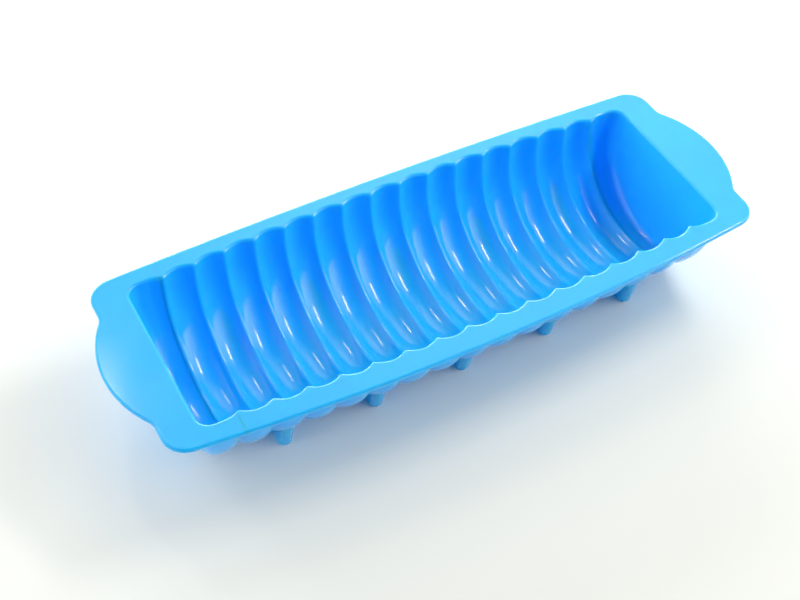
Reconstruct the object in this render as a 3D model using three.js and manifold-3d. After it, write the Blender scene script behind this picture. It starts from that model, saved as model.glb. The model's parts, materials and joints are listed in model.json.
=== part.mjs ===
// A ribbed half-round loaf mould in silicone, in millimetres.
// X runs along the trough, +Y to the back and +Z up. The origin is on the table, under the mould's middle.
import * as THREE from 'three';
import { mergeVertices } from 'three/addons/utils/BufferGeometryUtils.js';
import Module from 'manifold-3d';

const wasm = await Module();
wasm.setup();

// Trough
const RIB_COUNT = 17;
const RIB_PITCH = 14.5;
const RIB_DEPTH = 2.8;           // how far a rib's middle stands out from the ridges beside it
const WALL = 1.8;
const CAVITY_DEPTH = 39.2;       // rim's underside to the ridges at the bottom
const CAVITY_HALF_WIDTH = 37;    // between ridges, at the ends of the trough
const SIDE_BOW = 5.5;            // how far the soft long sides bulge at mid-length
const SECTION_POWER = 2.3;       // 2 is an ellipse, larger is squarer

// End walls
const END_FOOT_RUN = 6.3;        // last rib's middle to the foot of the end wall
const END_DRAFT_DEG = 4;
const END_FILLET = 6;

// Rim and grip tabs
const RIM_THICKNESS = 2.2;
const RIM_WIDTH = 12.2;          // ridges to the rim's outer edge, at the ends of the trough
const RIM_BOW = 4.6;             // how far the rim's long edges bulge at mid-length
const FOLD_SETBACK = 5.5;        // end of the cavity to the line where a grip tab flexes
const TAB_LENGTH = 10;           // fold line to the rim's straight end edge
const CORNER_RADIUS = 10.8;
const TAB_REACH = 9.4;           // how far the lens stands past the end edge
const TAB_ARC_RADIUS = 51;
const TAB_ROOT_FILLET = 7.5;
const FOLD_GAP = 0.3;

// Foot fins
const FEET_PER_SIDE = 5;
const FOOT_RIB_STEP = 3;         // a foot under every third rib
const FOOT_THICKNESS = 6.4;
const FOOT_INSET = 17;           // ridges at the ends of the trough to a foot's inner end
const FOOT_LENGTH = 13.5;        // a foot's inner end to its nose, at the sole
const FOOT_RAKE_DEG = 16;        // how far the nose leans out towards its top
const FOOT_CHAMFER = 0.8;
const FOOT_SEAT_GAP = 0.35;

// Fineness of the facets
const SECTION_STEPS = 18;
const RIB_STEPS = 4;
const FILLET_STEPS = 3;
const FOOT_ROWS = 8;
const FOOT_COLUMNS = 8;
const FOOT_SEAT_PASSES = 20;
const NOSE_SIDES = 16;
const ARC_STEPS = 10;
const MERGE_DISTANCE = 1e-4;

const SILICONE_BLUE = 0x3fb4ff;

// Derived heights and lengths
const ribCentre = (number) => (number - (RIB_COUNT + 1) / 2) * RIB_PITCH;
const lastRibCentre = ribCentre(RIB_COUNT);
const innerDepth = CAVITY_DEPTH + RIB_DEPTH;
const rimUnderside = innerDepth + WALL;
const rimMiddle = rimUnderside + RIM_THICKNESS / 2;
const endDraft = Math.tan(THREE.MathUtils.degToRad(END_DRAFT_DEG));
const endFillet = Math.min(END_FILLET, END_FOOT_RUN);
const cavityHalfLength = lastRibCentre + END_FOOT_RUN + innerDepth * endDraft;
const foldX = cavityHalfLength + FOLD_SETBACK;
const rimEndX = foldX + TAB_LENGTH;
const noseRadius = RIM_THICKNESS / 2;
const footInner = CAVITY_HALF_WIDTH - FOOT_INSET;
const footNose = footInner + FOOT_LENGTH;
const footRake = Math.tan(THREE.MathUtils.degToRad(FOOT_RAKE_DEG));

// Half widths of the cavity between ridges and of the rim, with the bulge of the soft sides.
const bowShare = (x) => 1 - (x / cavityHalfLength) ** 2;
const ridgeHalfWidth = (x) => CAVITY_HALF_WIDTH + SIDE_BOW * bowShare(x);
const rimHalfWidth = (x) => CAVITY_HALF_WIDTH + RIM_WIDTH + RIM_BOW * bowShare(x);
const rimSideSlope = (x) => -2 * RIM_BOW * x / cavityHalfLength ** 2;

// A rib bulges as an arc from ridge to ridge, and its outside runs parallel to that arc.
const ribArcRadius = (RIB_PITCH ** 2 / 4 + RIB_DEPTH ** 2) / (2 * RIB_DEPTH);
const bulge = (fromCentre, thickness) =>
  Math.sqrt((ribArcRadius + thickness) ** 2 - fromCentre ** 2) - (ribArcRadius - RIB_DEPTH);

// The trough's U section as a superellipse, from the front rim round the bottom to the back rim.
function section(halfWidth, depth) {
  const points = [];
  for (let i = 0; i <= SECTION_STEPS; i += 1) {
    const angle = Math.PI * i / SECTION_STEPS;
    const across = Math.abs(Math.cos(angle)) ** (2 / SECTION_POWER) * Math.sign(SECTION_STEPS / 2 - i);
    const down = i % SECTION_STEPS === 0 ? 0 : Math.sin(angle) ** (2 / SECTION_POWER);
    points.push({ y: -halfWidth * across, depth: depth * down });
  }
  return points;
}

// One cross-section of the shell: a closed loop, down the outside and back along the inside.
function shellLoop(outer, inner, outerX, innerX) {
  const place = (xOf) => (p) => new THREE.Vector3(xOf(p.depth), p.y, rimUnderside - p.depth);
  return [...outer.map(place(outerX)), ...inner.map(place(innerX)).reverse()];
}

function ribLoop(centre, fromCentre) {
  const x = centre + fromCentre;
  const [inside, outside] = [bulge(fromCentre, 0), bulge(fromCentre, WALL)];
  const inner = section(ridgeHalfWidth(x) + inside, CAVITY_DEPTH + inside);
  const outer = section(ridgeHalfWidth(x) + outside, CAVITY_DEPTH + outside);
  return shellLoop(outer, inner, () => x, () => x);
}

// A cross-section of the end wall's rounded edge: turn 0 at the last rib's middle, turn 1 at the flat wall.
function endLoop(turn) {
  const angle = turn * Math.PI / 2;
  const foot = lastRibCentre + END_FOOT_RUN - endFillet;
  const wallX = (radius) => (depth) =>
    foot + radius * Math.sin(angle) + Math.max(0, innerDepth - depth) * endDraft;
  const shrink = (radius) => radius * (1 - Math.cos(angle));
  const halfWidth = ridgeHalfWidth(lastRibCentre) + RIB_DEPTH;
  const [inR, outR] = [endFillet, endFillet + WALL];
  const inner = section(halfWidth - shrink(inR), innerDepth - shrink(inR));
  const outer = section(halfWidth + WALL - shrink(outR), innerDepth + WALL - shrink(outR));
  return shellLoop(outer, inner, wallX(outR), wallX(inR));
}

function indexedGeometry(positions, indices) {
  const geometry = new THREE.BufferGeometry();
  geometry.setAttribute('position', new THREE.Float32BufferAttribute(positions, 3));
  geometry.setIndex(indices);
  return geometry;
}

// Skins a row of loops. The start is closed between inside and outside, and so is the end of a rib.
// An end wall is closed right across instead, inside and outside.
function shellGeometry(loops, closedAcross) {
  const size = loops[0].length;
  const half = size / 2;
  const indices = [];
  const quad = (a, b, c, d) => indices.push(a, b, c, a, c, d);
  for (let s = 0; s + 1 < loops.length; s += 1) {
    for (let j = 0; j < size; j += 1) {
      const k = (j + 1) % size;
      quad(s * size + j, s * size + k, (s + 1) * size + k, (s + 1) * size + j);
    }
  }
  const last = (loops.length - 1) * size;
  for (let i = 0; i + 1 < half; i += 1) {
    const [a, b] = [size - 1 - i, size - 2 - i];
    quad(i, a, b, i + 1);
    if (!closedAcross) {
      quad(last + i, last + i + 1, last + b, last + a);
    }
  }
  if (closedAcross) {
    for (let i = 0; i < half / 2 - 1; i += 1) {
      const mirror = half - 1 - i;
      const [a, b] = [size - 1 - i, size - 2 - i];
      const [c, d] = [size - 1 - mirror, size - mirror];
      if (mirror - 1 === i + 1) {
        indices.push(last + i, last + i + 1, last + mirror, last + a, last + c, last + b);
      } else {
        quad(last + i, last + i + 1, last + mirror - 1, last + mirror);
        quad(last + a, last + c, last + d, last + b);
      }
    }
    quad(last, last + half - 1, last + half, last + size - 1);
  }
  return indexedGeometry(loops.flat().flatMap((p) => p.toArray()), indices);
}

function ribGeometry(number) {
  const centre = ribCentre(number);
  const first = number === 1 ? 0 : -0.5;
  const last = number === RIB_COUNT ? 0 : 0.5;
  const loops = [];
  for (let s = Math.round(first * RIB_STEPS); s <= Math.round(last * RIB_STEPS); s += 1) {
    loops.push(ribLoop(centre, s / RIB_STEPS * RIB_PITCH));
  }
  return shellGeometry(loops, false);
}

function endWallGeometry() {
  const loops = [ribLoop(lastRibCentre, 0)];
  for (let s = 0; s <= FILLET_STEPS; s += 1) {
    loops.push(endLoop(s / FILLET_STEPS));
  }
  return shellGeometry(loops, true);
}

// The same solid at the left end: turned half round the vertical axis.
function turnedRound(geometry) {
  return geometry.clone().rotateZ(Math.PI);
}

// The rim's opening follows the inside of the ribs and end walls, starting along the back from left to right.
function openingOutline() {
  const side = [];
  for (let number = 1; number <= RIB_COUNT; number += 1) {
    const first = number === 1 ? 0 : -RIB_STEPS / 2 + 1;
    const last = number === RIB_COUNT ? 0 : RIB_STEPS / 2;
    for (let s = first; s <= last; s += 1) {
      const fromCentre = s / RIB_STEPS * RIB_PITCH;
      const x = ribCentre(number) + fromCentre;
      side.push(new THREE.Vector2(x, ridgeHalfWidth(x) + bulge(fromCentre, 0)));
    }
  }
  const corner = [];
  for (let s = 0; s <= FILLET_STEPS; s += 1) {
    const rim = endLoop(s / FILLET_STEPS).at(-1);
    corner.push(new THREE.Vector2(rim.x, -rim.y));
  }
  const mirrored = (points, alongX, alongY) =>
    points.map((p) => new THREE.Vector2(alongX * p.x, alongY * p.y));
  return [
    ...side, ...corner,
    ...mirrored(corner, 1, -1).reverse(), ...mirrored(side, 1, -1).reverse(),
    ...mirrored(corner, -1, -1), ...mirrored(corner, -1, 1).reverse(),
  ];
}

function rimGeometry() {
  const endX = foldX - noseRadius - FOLD_GAP;
  const endY = rimHalfWidth(endX);
  const controlY = 2 * rimHalfWidth(0) - endY;
  const outline = new THREE.Shape();
  outline.moveTo(-endX, -endY);
  outline.quadraticCurveTo(0, -controlY, endX, -endY);
  outline.lineTo(endX, endY);
  outline.quadraticCurveTo(0, controlY, -endX, endY);
  outline.holes.push(new THREE.Path(openingOutline()));
  const plate = new THREE.ExtrudeGeometry(outline, {
    depth: RIM_THICKNESS, bevelEnabled: false, curveSegments: 2 * ARC_STEPS,
  });
  return plate.translate(0, 0, rimUnderside);
}

// Half of a grip tab's outline, from the fold at the back round to the lens's tip.
function tabSidePoints() {
  const slope = Math.atan(rimSideSlope(foldX));
  const cornerStart = Math.PI / 2 + slope;
  const cornerRadius = Math.min(CORNER_RADIUS, TAB_LENGTH / (1 - Math.cos(cornerStart)));
  const cornerX = rimEndX - cornerRadius;
  const startX = cornerX + cornerRadius * Math.cos(cornerStart);
  const startY = rimHalfWidth(foldX) + Math.tan(slope) * (startX - foldX);
  const cornerY = startY - cornerRadius * Math.sin(cornerStart);
  const lensX = rimEndX + TAB_REACH - TAB_ARC_RADIUS;
  const filletX = rimEndX + TAB_ROOT_FILLET;
  const filletY = Math.sqrt((TAB_ARC_RADIUS + TAB_ROOT_FILLET) ** 2 - (filletX - lensX) ** 2);
  const lensAngle = Math.atan2(filletY, filletX - lensX);
  const points = [new THREE.Vector2(foldX, rimHalfWidth(foldX))];
  const arc = (x, y, radius, from, to) => {
    for (let s = 0; s <= ARC_STEPS; s += 1) {
      const angle = from + (to - from) * s / ARC_STEPS;
      points.push(new THREE.Vector2(x + radius * Math.cos(angle), y + radius * Math.sin(angle)));
    }
  };
  arc(cornerX, cornerY, cornerRadius, cornerStart, 0);
  arc(filletX, filletY, TAB_ROOT_FILLET, Math.PI, Math.PI + lensAngle);
  arc(lensX, 0, TAB_ARC_RADIUS, lensAngle, 0);
  return points;
}

function toSolid(geometry) {
  const bare = geometry.clone();
  bare.deleteAttribute('normal');
  bare.deleteAttribute('uv');
  const merged = mergeVertices(bare, MERGE_DISTANCE);
  return new wasm.Manifold(new wasm.Mesh({
    numProp: 3,
    vertProperties: new Float32Array(merged.attributes.position.array),
    triVerts: new Uint32Array(merged.index.array),
  }));
}

function fromSolid(solid) {
  const { vertProperties, triVerts } = solid.getMesh();
  return indexedGeometry(vertProperties, [...triVerts]);
}

// A flat tab whose inner edge is rounded about the fold line, so that it can turn beside the rim.
function tabGeometry() {
  const back = tabSidePoints();
  const front = back.slice(0, -1).map((p) => new THREE.Vector2(p.x, -p.y));
  const outline = new THREE.Shape([...front, ...back.reverse()]);
  const plate = new THREE.ExtrudeGeometry(outline, { depth: RIM_THICKNESS, bevelEnabled: false });
  plate.translate(0, 0, rimUnderside);
  const nose = new THREE.CylinderGeometry(noseRadius, noseRadius, 2 * rimHalfWidth(foldX), NOSE_SIDES);
  nose.translate(foldX, 0, rimMiddle);
  return fromSolid(toSolid(plate).add(toSolid(nose)));
}

// Height of the trough's outside above the table at a point beside the middle plane.
function outsideHeight(x, y) {
  const nearestRib = Math.round(x / RIB_PITCH + (RIB_COUNT + 1) / 2);
  const fromCentre = x - ribCentre(nearestRib);
  const out = bulge(fromCentre, WALL);
  const across = Math.abs(y) / (ridgeHalfWidth(x) + out);
  return rimUnderside - (CAVITY_DEPTH + out) * (1 - across ** SECTION_POWER) ** (1 / SECTION_POWER);
}

// Plan of a foot as seen from above: rows of [across, out, share of the length], from its inner end to its nose.
function footPlan(inset) {
  const half = FOOT_THICKNESS / 2 - inset;
  const inner = footInner + inset;
  const plan = [];
  for (let row = 0; row <= FOOT_ROWS; row += 1) {
    for (let column = 0; column <= FOOT_COLUMNS; column += 1) {
      const angle = Math.PI * (column / FOOT_COLUMNS - 0.5);
      const nose = footNose - FOOT_THICKNESS / 2 + half * Math.cos(angle);
      const share = row / FOOT_ROWS;
      plan.push([half * Math.sin(angle), inner + (nose - inner) * share, share]);
    }
  }
  return plan;
}

// Numbers of a plan's points round its edge.
function footEdge() {
  const wide = FOOT_COLUMNS + 1;
  const edge = [];
  for (let column = 0; column < FOOT_COLUMNS; column += 1) edge.push(column);
  for (let row = 0; row < FOOT_ROWS; row += 1) edge.push(row * wide + FOOT_COLUMNS);
  for (let column = FOOT_COLUMNS; column > 0; column -= 1) edge.push(FOOT_ROWS * wide + column);
  for (let row = FOOT_ROWS; row > 0; row -= 1) edge.push(row * wide);
  return edge;
}

// Where a point of a foot's plan meets its seat under a rib, as [out, height]: the foot leans out as it rises.
function footSeat(x, [across, out, share]) {
  let height = 0;
  for (let pass = 0; pass < FOOT_SEAT_PASSES; pass += 1) {
    height = outsideHeight(x + across, out + footRake * height * share) - FOOT_SEAT_GAP;
  }
  return [out + footRake * height * share, height];
}

// A foot fin for the back, from the table up to its seat under a rib, with a chamfered sole and a round nose.
function footGeometry(x) {
  const points = [];
  const sole = footPlan(FOOT_CHAMFER);
  const full = footPlan(0);
  const edge = footEdge();
  for (const i of edge) points.push(x + sole[i][0], sole[i][1], 0);
  for (const i of edge) points.push(x + full[i][0], full[i][1], FOOT_CHAMFER);
  for (const place of full) {
    const [out, height] = footSeat(x, place);
    points.push(x + place[0], out, height);
  }
  const count = edge.length;
  const indices = [];
  for (let i = 0; i < count; i += 1) {
    const next = (i + 1) % count;
    const [high, highNext] = [2 * count + edge[i], 2 * count + edge[next]];
    indices.push(i, next, count + next, i, count + next, count + i);
    indices.push(count + i, count + next, highNext, count + i, highNext, high);
    if (i > 0 && next > 0) indices.push(0, next, i);
  }
  for (let row = 0; row < FOOT_ROWS; row += 1) {
    for (let column = 0; column < FOOT_COLUMNS; column += 1) {
      const near = 2 * count + row * (FOOT_COLUMNS + 1) + column;
      const far = near + FOOT_COLUMNS + 1;
      indices.push(near, near + 1, far + 1, near, far + 1, far);
    }
  }
  return indexedGeometry(points, indices);
}

const mould = new THREE.Group();

function addNode(name, geometry) {
  const silicone = new THREE.MeshStandardMaterial({ color: SILICONE_BLUE, roughness: 0.3, metalness: 0 });
  const mesh = new THREE.Mesh(geometry, silicone);
  mesh.name = name;
  mould.add(mesh);
}

addNode('rim_flange', rimGeometry());

const tab = tabGeometry();
addNode('grip_tab_right', tab);
addNode('grip_tab_left', turnedRound(tab));

for (let number = 1; number <= RIB_COUNT; number += 1) {
  addNode(`rib_${String(number).padStart(2, '0')}`, ribGeometry(number));
}

const endWall = endWallGeometry();
addNode('end_wall_right', endWall);
addNode('end_wall_left', turnedRound(endWall));

for (let i = 1; i <= FEET_PER_SIDE; i += 1) {
  const ribNumber = (RIB_COUNT + 1) / 2 + (i - (FEET_PER_SIDE + 1) / 2) * FOOT_RIB_STEP;
  const x = ribCentre(Math.round(ribNumber));
  addNode(`foot_front_${i}`, turnedRound(footGeometry(-x)));
  addNode(`foot_back_${i}`, footGeometry(x));
}

export default mould;
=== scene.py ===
"""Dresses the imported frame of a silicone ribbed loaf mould: its skin, its feet and a studio stage."""

import json
import math
from types import SimpleNamespace

import bmesh
import bpy
import numpy as np
from bpy.props import FloatProperty, FloatVectorProperty, PointerProperty
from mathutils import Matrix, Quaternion, Vector


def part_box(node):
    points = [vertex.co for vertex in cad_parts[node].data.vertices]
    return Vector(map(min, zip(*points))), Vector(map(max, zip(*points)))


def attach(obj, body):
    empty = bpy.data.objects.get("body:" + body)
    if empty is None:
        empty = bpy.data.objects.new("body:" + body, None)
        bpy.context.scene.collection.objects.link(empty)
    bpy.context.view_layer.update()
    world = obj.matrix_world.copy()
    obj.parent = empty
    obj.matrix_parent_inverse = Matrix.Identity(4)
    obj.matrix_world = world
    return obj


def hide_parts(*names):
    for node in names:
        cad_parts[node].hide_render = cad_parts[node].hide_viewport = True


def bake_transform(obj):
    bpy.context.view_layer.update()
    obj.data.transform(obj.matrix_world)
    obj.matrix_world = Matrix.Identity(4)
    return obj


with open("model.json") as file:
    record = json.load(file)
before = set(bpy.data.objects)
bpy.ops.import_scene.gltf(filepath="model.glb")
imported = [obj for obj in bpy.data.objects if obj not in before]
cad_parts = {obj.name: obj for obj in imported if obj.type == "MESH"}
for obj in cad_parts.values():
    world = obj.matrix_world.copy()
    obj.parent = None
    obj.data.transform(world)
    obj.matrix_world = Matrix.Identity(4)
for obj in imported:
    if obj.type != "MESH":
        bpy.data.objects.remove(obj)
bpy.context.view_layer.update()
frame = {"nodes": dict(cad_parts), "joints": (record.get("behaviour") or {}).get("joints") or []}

bl_info = {
    "name": "Silicone ribbed loaf mould",
    "version": (1, 0, 0),
    "blender": (4, 5, 0),
    "location": "View3D > Sidebar > Loaf mould",
    "description": "Builds the skin, the grip tabs and the feet of a ribbed silicone loaf mould",
    "category": "Add Mesh",
}

MM = 0.001
RIBS = sorted(name for name in frame["nodes"] if name.startswith("rib_"))
FEET = sorted(name for name in frame["nodes"] if name.startswith("foot_"))
RIM_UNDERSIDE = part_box("rim_flange")[0].z
RIM_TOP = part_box("rim_flange")[1].z
LAST_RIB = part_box(RIBS[-1])[1].x
RIB_PITCH = 2 * LAST_RIB / (len(RIBS) - 1)
FOLD = max(joint["pos_m"][0] for joint in frame["joints"])

# How finely the skin is drawn
SECTION_ROWS = 65
STEPS_PER_RIB = 20
TURN_STEPS = 8
END_STEPS = 64
FILLET_STEPS = 5
RIM_TOP_LOOPS = 5
RIM_UNDERSIDE_LOOPS = 4
ARC_STEPS = 60
BEND_STEPS = 10
FOOT_NOSE_STEPS = 16
FOOT_SIDE_STEPS = 12
FOOT_END_STEPS = 6
FOOT_SOLE_STEPS = 6
FOOT_WALL_STEPS = 8
# Edges sharper than this stay crisp
CRISP_ANGLE = math.radians(40)
# Points this close together are one point
MERGE = 1e-6
# A loop this far beside each rounding keeps the flat of the rim flat
BRACE = 0.2 * MM
# The sole and the root of a foot close to a slit with this half width
FOOT_SLIT = 0.15 * MM
# Room between two cut faces: too thin to see, but faces that touch would show as a dark line
HAIR = 2e-6
# The cuts lie this far beside a ridge, where the wall is straight and dark, so that they don't show
BESIDE_RIDGE = 1.1 * MM

# The photograph's camera, found by laying the mould's outline over it
PHOTO_PLACE = Vector((-209.84, -343.44, 476.21)) * MM
PHOTO_AIM = Vector((-25.63, -18.35, 46.0)) * MM
PHOTO_ROLL = math.radians(1.55)
PHOTO_LENS = 61.14
PHOTO_SENSOR = 36
# Lifts the dark blues as the photograph does
DISPLAY_GAMMA = 1.2
# Light goes to and fro in the channels and under the mould many times
DIFFUSE_BOUNCES = 8

FLOOR_HALF = 4.0
LAMP_AIM = Vector((0, 0, 0.02))
# Each lamp's name, the setting of its power, its place, width and height
LAMPS = (
    ("back_window", "window_power", (0.1, 0.9, 0.25), 1.2, 0.4),
    ("right_lamp", "right_power", (0.44, 0.0, 0.52), 0.24, 0.09),
    ("back_lamp", "back_power", (-0.09, 0.46, 0.66), 0.03, 0.12),
    ("left_lamp", "left_power", (-3.0, 0.05, 0.55), 1.0, 0.4),
)
# Each bright part of the room: the setting of its brightness, its azimuth from the back to the right and
# its elevation in degrees, and how closely the light gathers there
GLOWS = (
    ("sheen_glow", 31, 42, 24),
    ("right_glow", 112, 13, 4),
    ("left_glow", 300, 14, 3),
)


def linear(code):
    """An sRGB hex colour as linear red, green and blue."""
    shares = [int(code[place:place + 2], 16) / 255 for place in (1, 3, 5)]
    return tuple(s / 12.92 if s <= 0.04045 else ((s + 0.055) / 1.055) ** 2.4 for s in shares)


def length(name, description, millimetres):
    """A length that the user may change, in millimetres at first."""
    return FloatProperty(name=name, description=description, default=millimetres * MM, unit="LENGTH")


class TroughSizes(bpy.types.PropertyGroup):
    """Sizes of the ribbed trough."""

    half_width: length("Half width", "From the middle to the ridges at the trough's ends", 37)
    side_bow: length("Side bow", "How much further out the ridges stand at the middle", 5.5)
    depth: length("Depth", "From the rim's underside to the ridges at the bottom", 39.2)
    rib_depth: length("Rib depth", "How far each rib bulges out between its ridges", 2.8)
    wall: length("Wall", "Thickness of the silicone wall", 1.8)
    ridge_radius: length("Ridge radius", "Rounding of the ridges inside", 1.7)
    groove_radius: length("Groove radius", "Rounding of the grooves outside", 2.0)
    end_run: length("End run", "From the last rib to the foot of the end wall", 6.3)
    end_fillet: length("End fillet", "Rounding between the end wall and the sides", 6)
    end_rise: length("End rise", "Height of the rounding at the foot of the end wall", 15)
    end_draft: FloatProperty(
        name="End draft", description="Lean of the end walls", default=math.radians(4), subtype="ANGLE"
    )
    roundness: FloatProperty(
        name="Roundness", description="Power of the section: 2 is an ellipse, more is boxier",
        default=2.3,
    )


class RimSizes(bpy.types.PropertyGroup):
    """Sizes of the rim and its grip tabs."""

    width: length("Width", "From the ridges to the rim's edge at the trough's ends", 12.2)
    front_bow: length("Front bow", "How much further out the front edge hangs at the middle", 6.5)
    back_bow: length("Back bow", "How much further out the back edge hangs at the middle", 2.7)
    tab_length: length("Tab length", "From the fold to the rim's straight end", 10)
    corner_radius: length("Corner radius", "Rounding of the rim's corners", 10.8)
    tab_reach: length("Tab reach", "How far the grip tab stands out", 9.4)
    tab_radius: length("Tab radius", "Rounding of the grip tab", 51)
    root_radius: length("Root radius", "Rounding where the grip tab starts", 7.5)
    opening_radius: length("Opening radius", "Rounding of the edge round the opening", 1.1)
    edge_radius: length("Edge radius", "Rounding of the rim's outer edges", 1.0)
    seat_radius: length("Seat radius", "Rounding between the trough and the rim's underside", 1.2)


class FootSizes(bpy.types.PropertyGroup):
    """Sizes of the foot fins that the mould stands on."""

    sole_length: length("Sole length", "From a foot's inner end to its nose, at the sole", 13.5)
    sole_radius: length("Sole radius", "Rounding of the sole's edge", 1.1)
    sink: length("Sink", "How deep the root goes into the wall", 0.7)


class SiliconeFinish(bpy.types.PropertyGroup):
    """Looks of the silicone rubber."""

    colour: FloatVectorProperty(
        name="Colour", description="Colour of the rubber", subtype="COLOR", default=linear("#1CB3FE")
    )
    roughness: FloatProperty(
        name="Roughness", description="Roughness of the moulded skin", default=0.11, subtype="FACTOR"
    )
    depth: FloatVectorProperty(
        name="Light depth", description="How deep red, green and blue light go into the rubber",
        default=(0.3 * MM, 1.9 * MM, 2.2 * MM), subtype="XYZ_LENGTH",
    )


class StageLights(bpy.types.PropertyGroup):
    """Light on the stage."""

    window_power: FloatProperty(
        name="Window", description="Power of the wide window behind", default=12.8, unit="POWER"
    )
    right_power: FloatProperty(
        name="Right lamp", description="Power of the right lamp", default=1.6, unit="POWER"
    )
    back_power: FloatProperty(
        name="Back lamp", description="Power of the back lamp", default=0.4, unit="POWER"
    )
    left_power: FloatProperty(
        name="Left lamp", description="Power of the far lamp at the left", default=25.0, unit="POWER"
    )
    right_glow: FloatProperty(
        name="Right glow", description="Brightness of the room at the right", default=3.2
    )
    left_glow: FloatProperty(
        name="Left glow", description="Brightness of the room at the left", default=1.55
    )
    sheen_glow: FloatProperty(
        name="Sheen glow", description="Brightness that the rim mirrors", default=2.1
    )


def add(tree, kind, inputs=None, **settings):
    """Adds a node with its settings, sets or links its inputs, and returns its first output.

    Inputs go by name, or by number where a node has several of one name.
    """
    node = tree.nodes.new(kind)
    node.location.x = 200 * len(tree.nodes)
    for name, value in settings.items():
        setattr(node, name, value)
    for key, value in (inputs or {}).items():
        for source in value if isinstance(value, list) else [value]:
            if isinstance(source, bpy.types.NodeSocket):
                tree.links.new(source, node.inputs[key])
            else:
                node.inputs[key].default_value = source
    return node.outputs[0] if node.outputs else node


def new_tree(name, sockets):
    """A geometry tree with these named inputs, and the outputs of its input node."""
    tree = bpy.data.node_groups.new(name, "GeometryNodeTree")
    for label, kind in sockets.items():
        tree.interface.new_socket(label, in_out="INPUT", socket_type="NodeSocket" + kind)
    tree.interface.new_socket("Mesh", in_out="OUTPUT", socket_type="NodeSocketGeometry")
    return tree, tree.nodes.new("NodeGroupInput").outputs


def grow(name, tree, values):
    """The plain mesh that a geometry tree makes from these values."""
    holder = new_object(name, bpy.data.meshes.new(name))
    modifier = holder.modifiers.new(name, "NODES")
    modifier.node_group = tree
    for socket in tree.interface.items_tree:
        if socket.in_out == "INPUT":
            modifier[socket.identifier] = values[socket.name]
    evaluated = holder.evaluated_get(bpy.context.evaluated_depsgraph_get())
    mesh = bpy.data.meshes.new_from_object(evaluated)
    holder.modifiers.remove(modifier)
    bpy.data.objects.remove(holder)
    return mesh


def new_object(name, data):
    """A new object in the scene."""
    made = bpy.data.objects.new(name, data)
    bpy.context.scene.collection.objects.link(made)
    return made


def guide_line(name, points):
    """A row of points that a geometry tree reads as a profile."""
    mesh = bpy.data.meshes.new(name)
    mesh.from_pydata([tuple(point) for point in points], [], [])
    return new_object(name, mesh)


def drop(made):
    """Removes a helper object and its mesh."""
    mesh = made.data
    bpy.data.objects.remove(made)
    bpy.data.meshes.remove(mesh)


def silicone(finish):
    """Liquid silicone rubber, moulded in a polished tool: one glossy blue all through.

    Light goes into the thin walls and comes out on the other side, so the cavity glows.
    Handling leaves faint dull patches. The tool leaves a fine grain, drawn coarser so that it shows.
    """
    material = bpy.data.materials.get("moulded_silicone_rubber")
    if material:
        return material
    material = bpy.data.materials.new("moulded_silicone_rubber")
    material.use_nodes = True
    tree = material.node_tree
    tree.nodes.clear()
    place = add(tree, "ShaderNodeTexCoord").node.outputs["Object"]
    patch_size = 28 * MM
    patch_low, patch_high = 0.3, 0.7
    darker = 0.95
    shinier, duller = 0.03, 0.04
    patch = add(tree, "ShaderNodeTexNoise", {"Vector": place, "Scale": 1 / patch_size, "Detail": 2})
    colour = add(tree, "ShaderNodeMix", {
        0: add(tree, "ShaderNodeMapRange", {
            "Value": patch, "From Min": patch_low, "From Max": patch_high, "To Min": 0.0, "To Max": 1.0
        }),
        6: (*[darker * part for part in finish.colour], 1),
        7: (*finish.colour, 1),
    }, data_type="RGBA").node.outputs[2]
    rough = add(tree, "ShaderNodeMapRange", {
        "Value": patch, "From Min": patch_low, "From Max": patch_high,
        "To Min": finish.roughness - shinier, "To Max": finish.roughness + duller,
    })
    grain_size = 0.9 * MM
    grain = add(tree, "ShaderNodeTexNoise", {"Vector": place, "Scale": 1 / grain_size, "Detail": 1})
    normal = add(tree, "ShaderNodeBump", {"Height": grain, "Strength": 0.015, "Distance": 0.1 * MM})
    silicone_ior = 1.41
    skin = add(tree, "ShaderNodeBsdfPrincipled", {
        "Base Color": colour, "Roughness": rough, "Normal": normal, "IOR": silicone_ior,
        "Subsurface Weight": 1.0, "Subsurface Radius": finish.depth, "Subsurface Scale": 1.0,
    })
    add(tree, "ShaderNodeOutputMaterial", {"Surface": skin})
    return material


def trough_shape(trough):
    """Lengths and the section that follow from the trough's sizes."""
    full_depth = trough.depth + trough.rib_depth
    lean = math.tan(trough.end_draft)
    foot = LAST_RIB + trough.end_run - trough.end_fillet
    angle = np.linspace(0, math.pi, SECTION_ROWS)
    power = 2 / trough.roundness
    return SimpleNamespace(
        full_depth=full_depth,
        lean=lean,
        foot=foot,
        half_length=foot + trough.end_fillet + full_depth * lean,
        across=-np.sign(np.cos(angle)) * np.abs(np.cos(angle)) ** power,
        down=np.abs(np.sin(angle)) ** power,
    )


def channel_profile(trough, thickness, ridge_radius):
    """A round channel from ridge to ridge: each point's place along the trough and how far it bulges."""
    half_pitch = RIB_PITCH / 2
    arc = (half_pitch ** 2 + trough.rib_depth ** 2) / (2 * trough.rib_depth)
    centre = trough.rib_depth - arc
    arc += thickness
    both = arc + ridge_radius
    ridge_centre = centre + math.sqrt(both ** 2 - half_pitch ** 2)
    touch = half_pitch * arc / both
    x = half_pitch * np.sin(np.linspace(-math.pi / 2, math.pi / 2, STEPS_PER_RIB + 1))
    to_ridge = half_pitch - np.maximum(np.abs(x), touch)
    channel = centre + np.sqrt(arc ** 2 - x ** 2)
    ridge = ridge_centre - np.sqrt(ridge_radius ** 2 - to_ridge ** 2)
    bulge = np.where(np.abs(x) < touch, channel, ridge)
    return np.stack([x, bulge, bulge], axis=1)


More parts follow.
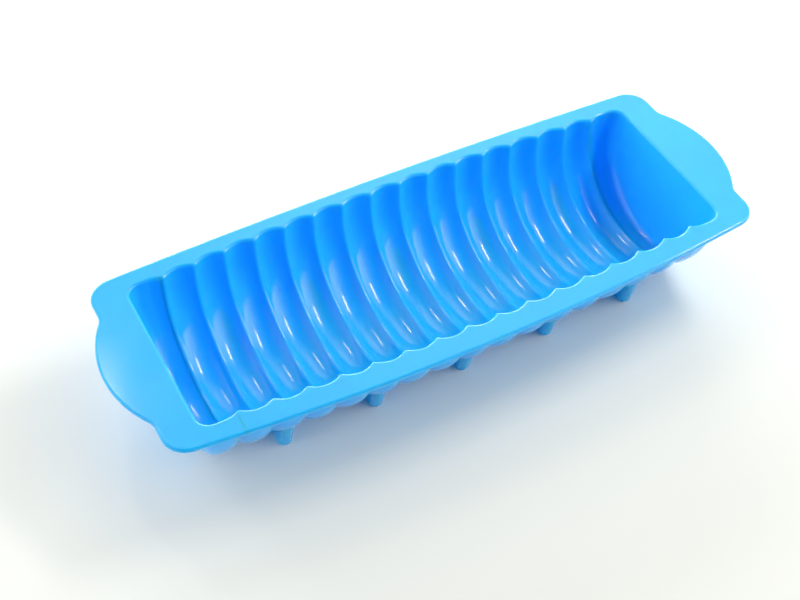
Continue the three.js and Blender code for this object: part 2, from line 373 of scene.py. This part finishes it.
def ribbed_sheet_tree():
    """One side of the trough: a channel drawn from two profiles, set in a row and bowed at the sides."""
    tree, given = new_tree("ribbed sheet", {
        "Section": "Object", "Channel": "Object", "Rows": "Int", "Steps": "Int", "Ribs": "Int",
        "First": "Float", "Pitch": "Float", "Half Width": "Float", "Depth": "Float", "Top": "Float",
        "Bow": "Float", "Half Length": "Float", "Merge": "Float", "Material": "Material",
    })
    sheet = add(tree, "GeometryNodeMeshGrid", {
        "Vertices X": given["Steps"], "Vertices Y": given["Rows"]
    })
    index = add(tree, "GeometryNodeInputIndex")
    position = add(tree, "GeometryNodeInputPosition")
    row = add(tree, "FunctionNodeIntegerMath", {0: index, 1: given["Rows"]}, operation="MODULO")
    column = add(tree, "FunctionNodeIntegerMath", {0: index, 1: given["Rows"]}, operation="DIVIDE_FLOOR")
    profiles = []
    for guide, number in (("Section", row), ("Channel", column)):
        points = add(tree, "GeometryNodeObjectInfo", {"Object": given[guide]}).node.outputs["Geometry"]
        profiles.append(add(tree, "GeometryNodeSampleIndex", {
            "Geometry": points, "Value": position, "Index": number
        }, data_type="FLOAT_VECTOR", domain="POINT"))
    section, channel = profiles
    size = add(tree, "ShaderNodeCombineXYZ", {1: given["Half Width"], 2: given["Depth"]})
    lift = add(tree, "ShaderNodeCombineXYZ", {2: given["Top"]})
    reach = add(tree, "ShaderNodeVectorMath", {0: size, 1: channel}, operation="ADD")
    start = add(tree, "ShaderNodeVectorMath", {
        0: channel, 1: (1, 0, 0), 2: lift
    }, operation="MULTIPLY_ADD")
    drawn = add(tree, "ShaderNodeVectorMath", {
        0: section, 1: reach, 2: start
    }, operation="MULTIPLY_ADD")
    kept = add(tree, "GeometryNodeStoreNamedAttribute", {
        "Geometry": sheet, "Name": "section", "Value": section
    }, data_type="FLOAT_VECTOR", domain="POINT")
    rib = add(tree, "GeometryNodeSetPosition", {"Geometry": kept, "Position": drawn})

    line = add(tree, "GeometryNodeMeshLine", {
        "Count": given["Ribs"],
        "Start Location": add(tree, "ShaderNodeCombineXYZ", {0: given["First"]}),
        "Offset": add(tree, "ShaderNodeCombineXYZ", {0: given["Pitch"]}),
    })
    ribs = add(tree, "GeometryNodeInstanceOnPoints", {"Points": line, "Instance": rib})
    joined = add(tree, "GeometryNodeMergeByDistance", {
        "Geometry": add(tree, "GeometryNodeRealizeInstances", {0: ribs}), "Distance": given["Merge"]
    })
    x = add(tree, "ShaderNodeSeparateXYZ", {0: position})
    off_middle = add(tree, "ShaderNodeMath", {0: x}, operation="ABSOLUTE")
    limit = add(tree, "ShaderNodeMath", {0: given["Merge"], 1: given["First"]}, operation="SUBTRACT")
    beyond = add(tree, "ShaderNodeMath", {0: off_middle, 1: limit}, operation="GREATER_THAN")
    trimmed = add(tree, "GeometryNodeDeleteGeometry", {"Geometry": joined, "Selection": beyond})

    ratio = add(tree, "ShaderNodeMath", {0: off_middle, 1: given["Half Length"]}, operation="DIVIDE")
    fall = add(tree, "ShaderNodeMath", {0: ratio, 1: 2.0}, operation="POWER")
    share = add(tree, "ShaderNodeMath", {0: 1.0, 1: fall}, operation="SUBTRACT")
    bow = add(tree, "ShaderNodeMath", {0: share, 1: given["Bow"]}, operation="MULTIPLY")
    sideways = add(tree, "ShaderNodeCombineXYZ", {1: bow})
    side = add(tree, "GeometryNodeInputNamedAttribute", {"Name": "section"}, data_type="FLOAT_VECTOR")
    shift = add(tree, "ShaderNodeVectorMath", {0: side, 1: sideways}, operation="MULTIPLY")
    bowed = add(tree, "GeometryNodeSetPosition", {"Geometry": trimmed, "Offset": shift})
    clean = add(tree, "GeometryNodeRemoveAttribute", {"Geometry": bowed, "Name": "section"})
    whole = add(tree, "GeometryNodeRealizeInstances", {0: clean})
    done = add(tree, "GeometryNodeSetMaterial", {"Geometry": whole, "Material": given["Material"]})
    add(tree, "NodeGroupOutput", {0: done})
    return tree


def end_wall_loops(trough, shape, thickness):
    """Loops of one side of the right end wall, from the last rib to the middle of its top edge."""
    fillet = trough.end_fillet + thickness
    rise = trough.end_rise + thickness
    bow = trough.side_bow * (1 - (LAST_RIB / shape.half_length) ** 2)
    half = trough.half_width + bow + trough.rib_depth + thickness
    loops = []
    for turn in np.linspace(0, math.pi / 2, TURN_STEPS + 1):
        inset = fillet * (1 - math.cos(turn))
        depth = shape.down * (shape.full_depth + thickness - rise * (1 - math.cos(turn)))
        x = shape.foot + fillet * math.sin(turn) + (shape.full_depth - depth) * shape.lean
        loops.append(np.stack([x, shape.across * (half - inset), RIM_UNDERSIDE - depth], axis=1))
    start = np.stack([
        np.full(SECTION_ROWS, LAST_RIB), loops[0][:, 1], loops[0][:, 2]
    ], axis=1)
    edge = loops[-1]
    pole = np.array([shape.foot + fillet + shape.full_depth * shape.lean, 0, RIM_UNDERSIDE])
    flat = [edge + (pole - edge) * share for share in np.linspace(0, 1, END_STEPS + 1)[1:]]
    return [start, *loops, *flat]


def add_grid(bm, loops):
    """Adds the faces between neighbouring loops."""
    rows = [[bm.verts.new(point) for point in loop] for loop in loops]
    for near, far in zip(rows, rows[1:]):
        for here in range(len(near) - 1):
            bm.faces.new((near[here], far[here], far[here + 1], near[here + 1]))


def top_loops(bm):
    """The two sheets' open edges as rings, inner one first, each from its right end towards the back."""
    bm.verts.ensure_lookup_table()
    around = {}
    for edge in bm.edges:
        if edge.is_boundary:
            for vert in edge.verts:
                around.setdefault(vert, []).append(edge.other_vert(vert))
    rings = []
    while around:
        first = max(around, key=lambda vert: (round(vert.co.x, 7), -abs(vert.co.y)))
        ring = [first, max(around[first], key=lambda vert: vert.co.y)]
        while ring[-1] is not first:
            ring.append(next(vert for vert in around[ring[-1]] if vert is not ring[-2]))
        ring.pop()
        for vert in ring:
            del around[vert]
        rings.append(ring)
    return sorted(rings, key=lambda ring: ring[0].co.x)


def outward(ring):
    """Unit directions that point out of a ring, seen from above."""
    along = np.roll(ring, -1, axis=0) - np.roll(ring, 1, axis=0)
    out = np.stack([along[:, 1], -along[:, 0]], axis=1)
    return out / np.linalg.norm(out, axis=1, keepdims=True)


def arc_points(centre, radius, start, end):
    """Points of an arc, from one angle to another."""
    angles = np.linspace(start, end, ARC_STEPS)
    return np.stack([centre[0] + radius * np.cos(angles), centre[1] + radius * np.sin(angles)], axis=1)


def rim_half_width(x, bow, trough, rim, shape):
    """How far the rim's edge is from the middle line at x, with this bow."""
    return trough.half_width + rim.width + bow * (1 - (x / shape.half_length) ** 2)


def rim_end_outline(bow, trough, rim, shape):
    """A quarter of the rim's outline, from the last rib to the tip of the grip tab."""
    end = FOLD + rim.tab_length
    side_x = np.linspace(LAST_RIB, FOLD, ARC_STEPS)
    side = np.stack([side_x, rim_half_width(side_x, bow, trough, rim, shape)], axis=1)
    slope = math.atan(-2 * bow * FOLD / shape.half_length ** 2)
    corner_start = math.pi / 2 + slope
    corner_x = end - rim.corner_radius
    start_x = corner_x + rim.corner_radius * math.cos(corner_start)
    start_y = side[-1, 1] + math.tan(slope) * (start_x - FOLD)
    corner_y = start_y - rim.corner_radius * math.sin(corner_start)
    lens_x = end + rim.tab_reach - rim.tab_radius
    root_x = end + rim.root_radius
    root_y = math.sqrt((rim.tab_radius + rim.root_radius) ** 2 - (root_x - lens_x) ** 2)
    lens_angle = math.atan2(root_y, root_x - lens_x)
    return np.concatenate([
        side,
        arc_points((corner_x, corner_y), rim.corner_radius, corner_start, 0),
        arc_points((root_x, root_y), rim.root_radius, math.pi, math.pi + lens_angle),
        arc_points((lens_x, 0), rim.tab_radius, lens_angle, 0),
    ])


def rim_edge(inner, trough, rim, shape):
    """The rim's edge: one point for each point of the opening's edge."""
    half = len(inner) // 2
    last = next(place for place in range(half) if inner[place, 0] < LAST_RIB + MERGE)
    steps = np.linalg.norm(np.diff(inner[:last + 1], axis=0), axis=1)
    share = np.concatenate([[0], np.cumsum(steps)]) / steps.sum()
    edge = np.array(inner)
    for side, bow in ((1, rim.back_bow), (-1, rim.front_bow)):
        beside = side * inner[:, 1] > 0
        edge[beside, 1] = side * rim_half_width(inner[beside, 0], bow, trough, rim, shape)
        outline = rim_end_outline(bow, trough, rim, shape)[::-1]
        run = np.concatenate([[0], np.cumsum(np.linalg.norm(np.diff(outline, axis=0), axis=1))])
        x = np.interp(share * run[-1], run, outline[:, 0])
        y = np.interp(share * run[-1], run, outline[:, 1])
        for place in range(last + 1):
            edge[side * place] = x[place], side * y[place]
            edge[half - side * place] = -x[place], side * y[place]
    return edge


def fillet_rings(corner, away, radius, high, low):
    """Rings of a rounded edge: from away from the corner at one height to the corner at the other."""
    rings = []
    for angle in np.linspace(0, math.pi / 2, FILLET_STEPS):
        out = corner - away * radius * (1 - math.sin(angle))
        rings.append((out, low + (high - low) * math.cos(angle)))
    return rings


def rim_rings(inner, outer, trough, rim, shape):
    """Rings of the rim, from the opening's edge over the top, round the edge and back to the trough."""
    edge = rim_edge(inner, trough, rim, shape)
    from_inner, from_edge, from_outer = outward(inner), outward(edge), outward(outer)
    opening, round_edge, seating = rim.opening_radius, rim.edge_radius, rim.seat_radius
    top = fillet_rings(inner, -from_inner, opening, RIM_TOP, RIM_TOP - opening)[::-1]
    high = fillet_rings(edge, from_edge, round_edge, RIM_TOP, RIM_TOP - round_edge)
    low = fillet_rings(edge, from_edge, round_edge, RIM_UNDERSIDE, RIM_UNDERSIDE + round_edge)[::-1]
    seat = fillet_rings(outer, -from_outer, seating, RIM_UNDERSIDE, RIM_UNDERSIDE - seating)
    top_start = top[-1][0] + from_inner * BRACE
    top_end = high[0][0] - from_edge * BRACE
    under_start = low[-1][0] - from_edge * BRACE
    under_end = seat[0][0] + from_outer * BRACE
    flat = [
        (top_start + (top_end - top_start) * share, RIM_TOP)
        for share in np.linspace(0, 1, RIM_TOP_LOOPS)
    ]
    under = [
        (under_start + (under_end - under_start) * share, RIM_UNDERSIDE)
        for share in np.linspace(0, 1, RIM_UNDERSIDE_LOOPS)
    ]
    return [*top, *flat, *high, *low, *under, *seat[:-1]]


def add_rim(bm, trough, rim, shape):
    """Joins the two sheets by the rim."""
    inner_ring, outer_ring = top_loops(bm)
    inner = np.array([vert.co.xy for vert in inner_ring])
    outer = np.array([vert.co.xy for vert in outer_ring])
    for vert in outer_ring:
        vert.co.z -= rim.seat_radius
    rows = [inner_ring]
    for flat, height in rim_rings(inner, outer, trough, rim, shape):
        rows.append([bm.verts.new((x, y, height)) for x, y in flat])
    rows.append(outer_ring)
    for near, far in zip(rows, rows[1:]):
        for here in range(len(near)):
            there = (here + 1) % len(near)
            bm.faces.new((near[here], near[there], far[there], far[here]))


def finish_mesh(bm, name, material):
    """A smooth mesh with crisp cut faces."""
    mesh = bpy.data.meshes.new(name)
    bm.to_mesh(mesh)
    bm.free()
    mesh.materials.clear()
    mesh.materials.append(material)
    mesh.shade_smooth()
    mesh.set_sharp_from_angle(angle=CRISP_ANGLE)
    return mesh


class OBJECT_OT_mould_trough(bpy.types.Operator):
    """Builds the ribbed trough, its end walls and the rim as one skin"""

    bl_idname = "object.mould_trough"
    bl_label = "Trough and rim"

    def execute(self, context):
        trough = context.scene.mould_trough
        rim = context.scene.mould_rim
        material = silicone(context.scene.mould_silicone)
        shape = trough_shape(trough)
        half_round = np.stack([0 * shape.across, shape.across, -shape.down], axis=1)
        section = guide_line("trough_section", half_round)
        tree = ribbed_sheet_tree()
        bm = bmesh.new()
        for thickness, ridge_radius in ((0.0, trough.ridge_radius), (trough.wall, trough.groove_radius)):
            channel = guide_line("rib_channel", channel_profile(trough, thickness, ridge_radius))
            sheet = grow("ribbed_sheet", tree, {
                "Section": section, "Channel": channel, "Rows": SECTION_ROWS, "Steps": STEPS_PER_RIB + 1,
                "Ribs": len(RIBS), "First": -LAST_RIB, "Pitch": RIB_PITCH,
                "Half Width": trough.half_width, "Depth": trough.depth, "Top": RIM_UNDERSIDE,
                "Bow": trough.side_bow, "Half Length": shape.half_length, "Merge": MERGE,
                "Material": material,
            })
            drop(channel)
            bm.from_mesh(sheet)
            bpy.data.meshes.remove(sheet)
            right = end_wall_loops(trough, shape, thickness)
            add_grid(bm, right)
            add_grid(bm, [loop * (-1, -1, 1) for loop in right])
        drop(section)
        bmesh.ops.remove_doubles(bm, verts=bm.verts, dist=10 * MERGE)
        add_rim(bm, trough, rim, shape)
        bmesh.ops.recalc_face_normals(bm, faces=bm.faces)
        skin = new_object("trough_and_rim", finish_mesh(bm, "trough_and_rim", material))
        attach(skin, "mould_body")
        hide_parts("rim_flange", *RIBS[1:-1])
        return {"FINISHED"}


def cut(bm, x, away):
    """Cuts the mesh at x, drops what lies on the away side and closes the cut."""
    whole = [*bm.verts, *bm.edges, *bm.faces]
    bmesh.ops.bisect_plane(
        bm, geom=whole, dist=MERGE, plane_co=(x, 0, 0), plane_no=(away, 0, 0), clear_outer=True
    )
    rim_of_cut = [edge for edge in bm.edges if edge.is_boundary]
    bmesh.ops.edgeloop_fill(bm, edges=rim_of_cut)


class OBJECT_OT_mould_ends(bpy.types.Operator):
    """Cuts the two ends with their grip tabs off the trough, with extra loops across each tab's fold"""

    bl_idname = "object.mould_ends"
    bl_label = "Ends and grip tabs"

    def execute(self, context):
        material = silicone(context.scene.mould_silicone)
        skin = bpy.data.objects["trough_and_rim"]
        half_bend = 2.34 * MM
        seam = LAST_RIB - RIB_PITCH / 2 + BESIDE_RIDGE
        bends = np.linspace(FOLD - half_bend, FOLD + half_bend, BEND_STEPS)
        for side, away in (("left", -1), ("right", 1)):
            bm = bmesh.new()
            bm.from_mesh(skin.data)
            cut(bm, away * seam, -away)
            for x in bends:
                whole = [*bm.verts, *bm.edges, *bm.faces]
                bmesh.ops.bisect_plane(
                    bm, geom=whole, dist=MERGE, plane_co=(away * x, 0, 0), plane_no=(1, 0, 0)
                )
            bmesh.ops.recalc_face_normals(bm, faces=bm.faces)
            name = f"{side}_end_and_grip_tab"
            end = new_object(name, finish_mesh(bm, name, material))
            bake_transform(end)
            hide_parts(f"grip_tab_{side}", f"end_wall_{side}", RIBS[0 if away < 0 else -1])
        bm = bmesh.new()
        bm.from_mesh(skin.data)
        cut(bm, HAIR - seam, -1)
        cut(bm, seam - HAIR, 1)
        old = skin.data
        skin.data = finish_mesh(bm, "trough_and_rim", material)
        bpy.data.meshes.remove(old)
        skin.data.name = "trough_and_rim"
        return {"FINISHED"}


def foot_row_tree():
    """Foot fins in two rows, each grown up to the trough above it."""
    tree, given = new_tree("foot rows", {
        "Foot": "Object", "Feet": "Int", "First": "Float", "Spacing": "Float", "Trough": "Object",
        "Below": "Float", "Sink": "Float", "Material": "Material",
    })
    foot = add(tree, "GeometryNodeObjectInfo", {"Object": given["Foot"]}).node.outputs["Geometry"]
    line = add(tree, "GeometryNodeMeshLine", {
        "Count": given["Feet"],
        "Start Location": add(tree, "ShaderNodeCombineXYZ", {0: given["First"]}),
        "Offset": add(tree, "ShaderNodeCombineXYZ", {0: given["Spacing"]}),
    })
    rows = [
        add(tree, "GeometryNodeInstanceOnPoints", {
            "Points": line, "Instance": foot, "Rotation": (0, 0, turn)
        })
        for turn in (0, math.pi)
    ]
    both_rows = add(tree, "GeometryNodeJoinGeometry", {0: rows})
    feet = add(tree, "GeometryNodeRealizeInstances", {0: both_rows})

    trough = add(tree, "GeometryNodeObjectInfo", {"Object": given["Trough"]}).node.outputs["Geometry"]
    place = add(tree, "ShaderNodeSeparateXYZ", {0: add(tree, "GeometryNodeInputPosition")}).node.outputs
    rise = add(tree, "GeometryNodeInputNamedAttribute", {"Name": "rise"}, data_type="FLOAT")
    lean = add(tree, "GeometryNodeInputNamedAttribute", {"Name": "lean"}, data_type="FLOAT")
    side = add(tree, "ShaderNodeMath", {0: place[1]}, operation="SIGN")
    root_y = add(tree, "ShaderNodeMath", {0: lean, 1: side, 2: place[1]}, operation="MULTIPLY_ADD")
    below = add(tree, "ShaderNodeCombineXYZ", {0: place[0], 1: root_y, 2: given["Below"]})
    hit = add(tree, "GeometryNodeRaycast", {
        "Target Geometry": trough, "Source Position": below, "Ray Direction": (0, 0, 1),
        "Ray Length": 1.0,
    }).node.outputs["Hit Position"]
    above = add(tree, "ShaderNodeSeparateXYZ", {0: hit}).node.outputs[2]
    root = add(tree, "ShaderNodeMath", {0: above, 1: given["Sink"]}, operation="ADD")
    room = add(tree, "ShaderNodeMath", {0: root, 1: place[2]}, operation="SUBTRACT")
    lift = add(tree, "ShaderNodeMath", {0: room, 1: rise}, operation="MULTIPLY")
    clean = add(tree, "GeometryNodeSetPosition", {
        "Geometry": feet, "Offset": add(tree, "ShaderNodeCombineXYZ", {2: lift})
    })
    for name in ("rise", "lean"):
        clean = add(tree, "GeometryNodeRemoveAttribute", {"Geometry": clean, "Name": name})
    whole = add(tree, "GeometryNodeRealizeInstances", {0: clean})
    done = add(tree, "GeometryNodeSetMaterial", {"Geometry": whole, "Material": given["Material"]})
    add(tree, "NodeGroupOutput", {0: done})
    return tree


def foot_plan(inner, nose, half):
    """Points round a front foot's sole, from above: straight sides, a round nose, a flat inner end."""
    straight = np.linspace(inner, nose - half, FOOT_SIDE_STEPS + 1)[:-1]
    points = [(-half, -y) for y in straight]
    for angle in np.linspace(math.pi, 2 * math.pi, FOOT_NOSE_STEPS + 1):
        points.append((half * math.cos(angle), half - nose + half * math.sin(angle)))
    points += [(half, -y) for y in straight[::-1]]
    points += [(half * share, -inner) for share in np.linspace(1, -1, FOOT_END_STEPS + 1)[1:-1]]
    return np.array(points)


def foot_profile(feet, half):
    """Inset, height above the table and share of the rise for each ring of a foot, sole first."""
    radius = feet.sole_radius
    slit = FOOT_SLIT - half
    beside_rounding = -1.3 * radius
    rings = [(slit, 0, 0), (beside_rounding, 0, 0)]
    for angle in np.linspace(0, math.pi / 2, FOOT_SOLE_STEPS + 1):
        rings.append((-radius * (1 - math.sin(angle)), radius * (1 - math.cos(angle)), 0))
    rings += [(0, radius, share) for share in np.linspace(0, 1, FOOT_WALL_STEPS + 1)[1:]]
    rings.append((slit, radius, 1))
    return rings


def front_foot(feet, inner, nose, half, lean):
    """One foot at the middle of the front row, not yet raised: its points keep their rise and lean."""
    plan = foot_plan(inner, nose, half)
    out = outward(plan)
    share = (-plan[:, 1] - inner) / (nose - inner)
    bm = bmesh.new()
    rings = []
    rises = []
    leans = []
    for inset, height, rise in foot_profile(feet, half):
        ring = plan + out * inset
        ring[:, 1] -= lean * share * rise
        rings.append([bm.verts.new((x, y, height)) for x, y in ring])
        rises += [rise] * len(plan)
        leans += list(lean * share * (1 - rise))
    for low, high in zip(rings, rings[1:]):
        for here in range(len(plan)):
            there = (here + 1) % len(plan)
            bm.faces.new((low[here], low[there], high[there], high[here]))
    bm.faces.new(rings[0])
    bm.faces.new(rings[-1])
    mesh = bpy.data.meshes.new("front_foot")
    bm.to_mesh(mesh)
    bm.free()
    for name, values in (("rise", rises), ("lean", leans)):
        mesh.attributes.new(name, "FLOAT", "POINT").data.foreach_set("value", values)
    return new_object("front_foot", mesh)


class OBJECT_OT_mould_feet(bpy.types.Operator):
    """Builds the two rows of foot fins under the trough"""

    bl_idname = "object.mould_feet"
    bl_label = "Foot fins"

    def execute(self, context):
        material = silicone(context.scene.mould_silicone)
        feet = context.scene.mould_feet
        low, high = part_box("foot_back_3")
        half = (high.x - low.x) / 2
        nose = low.y + feet.sole_length
        foot = front_foot(feet, low.y, nose, half, high.y - nose)
        boxes = [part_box(name) for name in FEET]
        middles = sorted({round((near.x + far.x) / 2, 5) for near, far in boxes})
        mesh = grow("foot_fins", foot_row_tree(), {
            "Foot": foot, "Feet": len(middles), "First": middles[0], "Spacing": middles[1] - middles[0],
            "Trough": bpy.data.objects["trough_and_rim"], "Below": -10 * MM, "Sink": feet.sink,
            "Material": material,
        })
        drop(foot)
        bm = bmesh.new()
        bm.from_mesh(mesh)
        bpy.data.meshes.remove(mesh)
        bmesh.ops.recalc_face_normals(bm, faces=bm.faces)
        made = new_object("foot_fins", finish_mesh(bm, "foot_fins", material))
        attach(made, "mould_body")
        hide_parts(*FEET)
        return {"FINISHED"}


def table_material():
    """Matt white paper on a table: no gloss, a faint tooth that only shows up close."""
    material = bpy.data.materials.new("matt_white_paper")
    material.use_nodes = True
    tree = material.node_tree
    tree.nodes.clear()
    place = add(tree, "ShaderNodeTexCoord").node.outputs["Object"]
    tooth_size = 0.8 * MM
    tooth = add(tree, "ShaderNodeTexNoise", {"Vector": place, "Scale": 1 / tooth_size, "Detail": 1})
    normal = add(tree, "ShaderNodeBump", {"Height": tooth, "Strength": 0.02, "Distance": 0.1 * MM})
    skin = add(tree, "ShaderNodeBsdfPrincipled", {
        "Base Color": (*linear("#F2F4EB"), 1), "Roughness": 0.9, "Normal": normal,
        "Specular IOR Level": 0.1,
    })
    add(tree, "ShaderNodeOutputMaterial", {"Surface": skin})
    return material


def lamp(name, place, width, height, power):
    """A soft rectangular lamp that the camera doesn't see."""
    data = bpy.data.lights.new(name, "AREA")
    data.shape = "RECTANGLE"
    data.size = width
    data.size_y = height
    data.energy = power
    made = new_object(name, data)
    made.location = place
    made.rotation_mode = "QUATERNION"
    made.rotation_quaternion = (LAMP_AIM - Vector(place)).to_track_quat("-Z", "Y")
    made.visible_camera = False
    return made


def white_room(lights):
    """A dark room that is bright in three parts. The camera itself sees it plain white."""
    world = bpy.data.worlds.new("white_room")
    world.use_nodes = True
    tree = world.node_tree
    tree.nodes.clear()
    look = add(tree, "ShaderNodeTexCoord")
    light = 0.0
    for setting, azimuth, elevation, gathering in GLOWS:
        turn, rise = math.radians(azimuth), math.radians(elevation)
        way = (math.sin(turn) * math.cos(rise), math.cos(turn) * math.cos(rise), math.sin(rise))
        product = add(tree, "ShaderNodeVectorMath", {0: look, 1: way}, operation="DOT_PRODUCT")
        facing = product.node.outputs["Value"]
        front = add(tree, "ShaderNodeMath", {0: facing, 1: 0.0}, operation="MAXIMUM")
        glow = add(tree, "ShaderNodeMath", {0: front, 1: gathering}, operation="POWER")
        light = add(tree, "ShaderNodeMath", {
            0: glow, 1: getattr(lights, setting), 2: light
        }, operation="MULTIPLY_ADD")
    seen = add(tree, "ShaderNodeLightPath")
    strength = add(tree, "ShaderNodeMix", {0: seen, 2: light, 3: 1.0})
    room = add(tree, "ShaderNodeBackground", {"Color": (1, 1, 1, 1), "Strength": strength})
    add(tree, "ShaderNodeOutputWorld", {"Surface": room})
    return world


class SCENE_OT_mould_stage(bpy.types.Operator):
    """Lays the floor, hangs the lamps and sets up the camera"""

    bl_idname = "scene.mould_stage"
    bl_label = "Stage"

    def execute(self, context):
        scene = context.scene
        lights = scene.mould_stage
        mesh = bpy.data.meshes.new("floor")
        corners = [(x * FLOOR_HALF, y * FLOOR_HALF, 0) for x, y in ((-1, -1), (1, -1), (1, 1), (-1, 1))]
        mesh.from_pydata(corners, [], [(0, 1, 2, 3)])
        mesh.materials.append(table_material())
        new_object("floor", mesh)
        hung = {}
        for name, setting, place, width, height in LAMPS:
            hung[name] = lamp(name, place, width, height, getattr(lights, setting))
        # This lamp fills the right end wall, and would leave streaks on the ridges
        hung["left_lamp"].visible_glossy = False
        scene.world = white_room(lights)
        scene.view_settings.view_transform = "Standard"
        scene.view_settings.gamma = DISPLAY_GAMMA
        scene.cycles.diffuse_bounces = DIFFUSE_BOUNCES
        camera = bpy.data.cameras.new("photo_camera")
        camera.sensor_width = PHOTO_SENSOR
        camera.lens = PHOTO_LENS
        made = new_object("photo_camera", camera)
        look = PHOTO_AIM - PHOTO_PLACE
        made.location = PHOTO_PLACE
        made.rotation_mode = "QUATERNION"
        made.rotation_quaternion = look.to_track_quat("-Z", "Y") @ Quaternion((0, 0, 1), PHOTO_ROLL)
        scene.camera = made
        return {"FINISHED"}


OPERATORS = (OBJECT_OT_mould_trough, OBJECT_OT_mould_ends, OBJECT_OT_mould_feet, SCENE_OT_mould_stage)
SETTINGS = {
    "mould_trough": TroughSizes,
    "mould_rim": RimSizes,
    "mould_feet": FootSizes,
    "mould_silicone": SiliconeFinish,
    "mould_stage": StageLights,
}


class VIEW3D_PT_loaf_mould(bpy.types.Panel):
    """Sizes and steps of the loaf mould"""

    bl_idname = "VIEW3D_PT_loaf_mould"
    bl_label = "Loaf mould"
    bl_space_type = "VIEW_3D"
    bl_region_type = "UI"
    bl_category = "Loaf mould"

    def draw(self, context):
        for name in SETTINGS:
            group = getattr(context.scene, name)
            part = self.layout.box()
            for field in group.__annotations__:
                part.prop(group, field)
        for operator in OPERATORS:
            self.layout.operator(operator.bl_idname)


CLASSES = (*SETTINGS.values(), *OPERATORS, VIEW3D_PT_loaf_mould)


def register():
    """Makes the classes and settings known to Blender."""
    for kind in CLASSES:
        bpy.utils.register_class(kind)
    for name, kind in SETTINGS.items():
        setattr(bpy.types.Scene, name, PointerProperty(type=kind))


def unregister():
    """Takes the classes and settings away again."""
    for name in SETTINGS:
        delattr(bpy.types.Scene, name)
    for kind in reversed(CLASSES):
        bpy.utils.unregister_class(kind)


def main():
    """Builds every piece and the stage."""
    register()
    bpy.ops.object.mould_trough()
    bpy.ops.object.mould_ends()
    bpy.ops.object.mould_feet()
    bpy.ops.scene.mould_stage()


if __name__ == "__main__":
    main()
